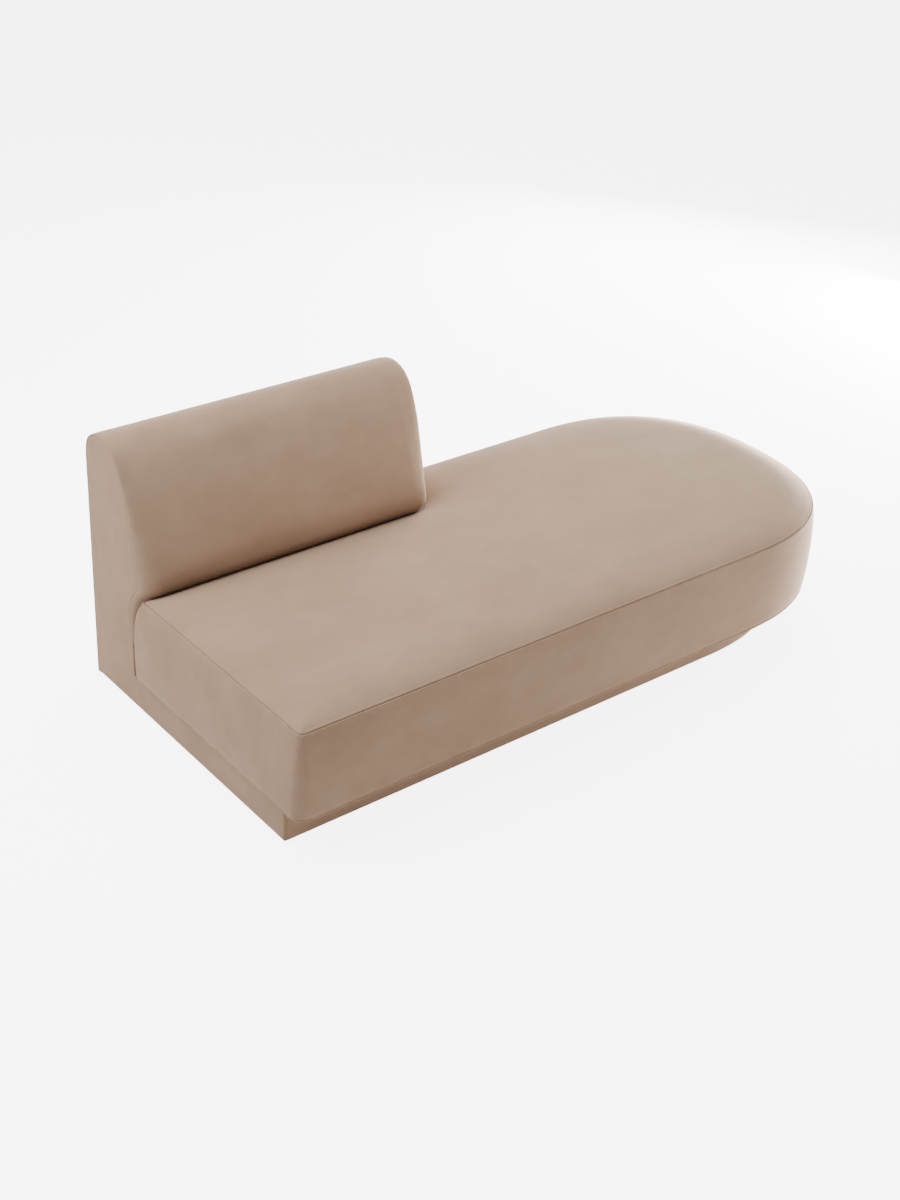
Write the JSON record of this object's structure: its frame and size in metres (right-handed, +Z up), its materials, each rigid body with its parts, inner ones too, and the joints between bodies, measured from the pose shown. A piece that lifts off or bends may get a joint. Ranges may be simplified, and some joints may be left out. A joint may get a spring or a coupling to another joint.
{
  "type": "daybed",
  "caption": "Low upholstered chaise module: a thick seat with one rounded end on a recessed plinth, and a backrest along half its length.",
  "frame": {"origin": "centre of the footprint, on the floor", "axes": "+X along the length towards the rounded end, +Y from the front of the seat to the backrest, +Z up"},
  "size_m": [2.112, 1.013, 0.777],
  "materials": {
    "velvet": "short-pile velvet, taupe",
    "foam": "open-cell foam",
    "fibre": "polyester fibre",
    "felt": "needled felt",
    "webbing": "woven elastic",
    "plywood": "sawn birch plywood",
    "softwood": "planed pine",
    "hardwood": "planed beech",
    "hardboard": "pressed board",
    "cambric": "black non-woven sheet",
    "nylon": "moulded nylon",
    "steel": "zinc plated"
  },
  "bodies": {
    "root": {"seat_side_cover": "velvet", "seat_top_cover": "velvet", "back_cover": "velvet", "left_end_cover": "velvet", "right_end_cover": "velvet", "plinth_cover": "velvet", "seat_foam_band": "foam", "seat_foam_core": "foam", "back_foam": "foam", "left_end_pad": "foam", "right_end_pad": "foam", "seat_fibre_wrap": "fibre", "back_wadding": "fibre", "seat_felt": "felt", "webbing_strap_1": "webbing", "webbing_strap_2": "webbing", "webbing_strap_3": "webbing", "webbing_strap_4": "webbing", "webbing_strap_5": "webbing", "webbing_strap_6": "webbing", "webbing_strap_7": "webbing", "webbing_strap_8": "webbing", "left_rib": "plywood", "middle_rib": "plywood", "right_rib": "plywood", "plinth_front_rail": "plywood", "plinth_back_rail": "plywood", "plinth_far_rail": "plywood", "plinth_cross_rail": "plywood", "plinth_bent_rail": "plywood", "seat_base_board": "plywood", "seat_bent_rail": "plywood", "back_top_board": "plywood", "back_tuck_board": "plywood", "seat_front_rail": "softwood", "seat_left_rail": "softwood", "seat_rear_rail": "softwood", "seat_notch_rail": "softwood", "seat_far_rail": "softwood", "seat_cross_rail_1": "softwood", "seat_cross_rail_2": "softwood", "plinth_block_1": "hardwood", "plinth_block_2": "hardwood", "plinth_block_3": "hardwood", "plinth_block_4": "hardwood", "plinth_block_5": "hardwood", "plinth_block_6": "hardwood", "back_front_panel": "hardboard", "back_rear_panel": "hardboard", "dust_cover": "cambric", "glide_1": "nylon", "glide_2": "nylon", "glide_3": "nylon", "glide_4": "nylon", "glide_5": "nylon", "glide_6": "nylon", "seat_screw_1": "steel", "seat_screw_2": "steel", "seat_screw_3": "steel", "seat_screw_4": "steel"}
  },
  "joints": []
}
